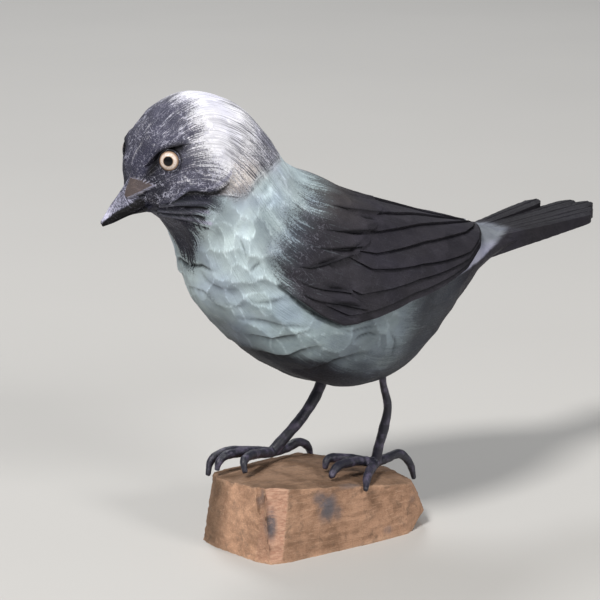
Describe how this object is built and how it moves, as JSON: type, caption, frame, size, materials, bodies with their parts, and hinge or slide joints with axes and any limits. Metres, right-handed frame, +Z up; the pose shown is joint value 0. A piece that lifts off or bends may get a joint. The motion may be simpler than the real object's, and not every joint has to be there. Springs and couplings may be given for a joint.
{
  "type": "carved jackdaw figure",
  "caption": "Carved and painted wooden jackdaw standing on wire legs on a rough block of wood.",
  "frame": {"origin": "on the block's underside, below the middle of the bird from side to side", "axes": "+Z up; the bird heads -X with its tail towards +X, and its left side faces -Y"},
  "size_m": [0.257, 0.0818, 0.192],
  "materials": {
    "wood": "rough",
    "painted_wood": "satin",
    "wire": "satin",
    "eye_glass": "gloss"
  },
  "bodies": {
    "root": {"block": "wood", "bird": "painted_wood", "left_leg": "wire", "right_leg": "wire", "left_eye": "eye_glass", "right_eye": "eye_glass"}
  },
  "joints": []
}
